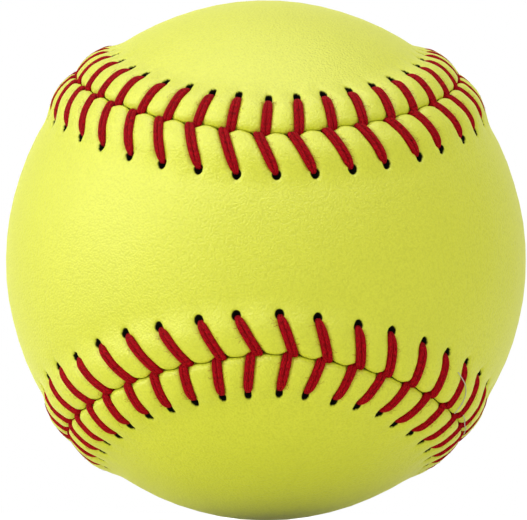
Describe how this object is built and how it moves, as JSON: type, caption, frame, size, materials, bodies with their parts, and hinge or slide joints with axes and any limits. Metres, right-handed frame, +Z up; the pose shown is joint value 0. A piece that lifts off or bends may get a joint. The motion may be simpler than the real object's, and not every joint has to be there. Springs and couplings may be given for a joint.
{
  "type": "softball",
  "caption": "Twelve-inch fast-pitch softball: foam core, two figure-eight leather cover panels and a raised seam sewn with two red threads in a herringbone.",
  "frame": {"origin": "middle of the ball", "axes": "+Z up through the lobes of cover panel b, -Y towards the neck of cover panel a that the picture faces, +X to the right of that view"},
  "size_m": [0.097, 0.0975, 0.097],
  "materials": {
    "core_foam": "matte",
    "cement": "matte",
    "yellow_leather": "satin",
    "red_thread": "satin"
  },
  "bodies": {
    "root": {"core": "core_foam", "cement_coat": "cement", "cover_panel_a": "yellow_leather", "cover_panel_b": "yellow_leather", "thread_a": "red_thread", "thread_b": "red_thread"}
  },
  "joints": []
}
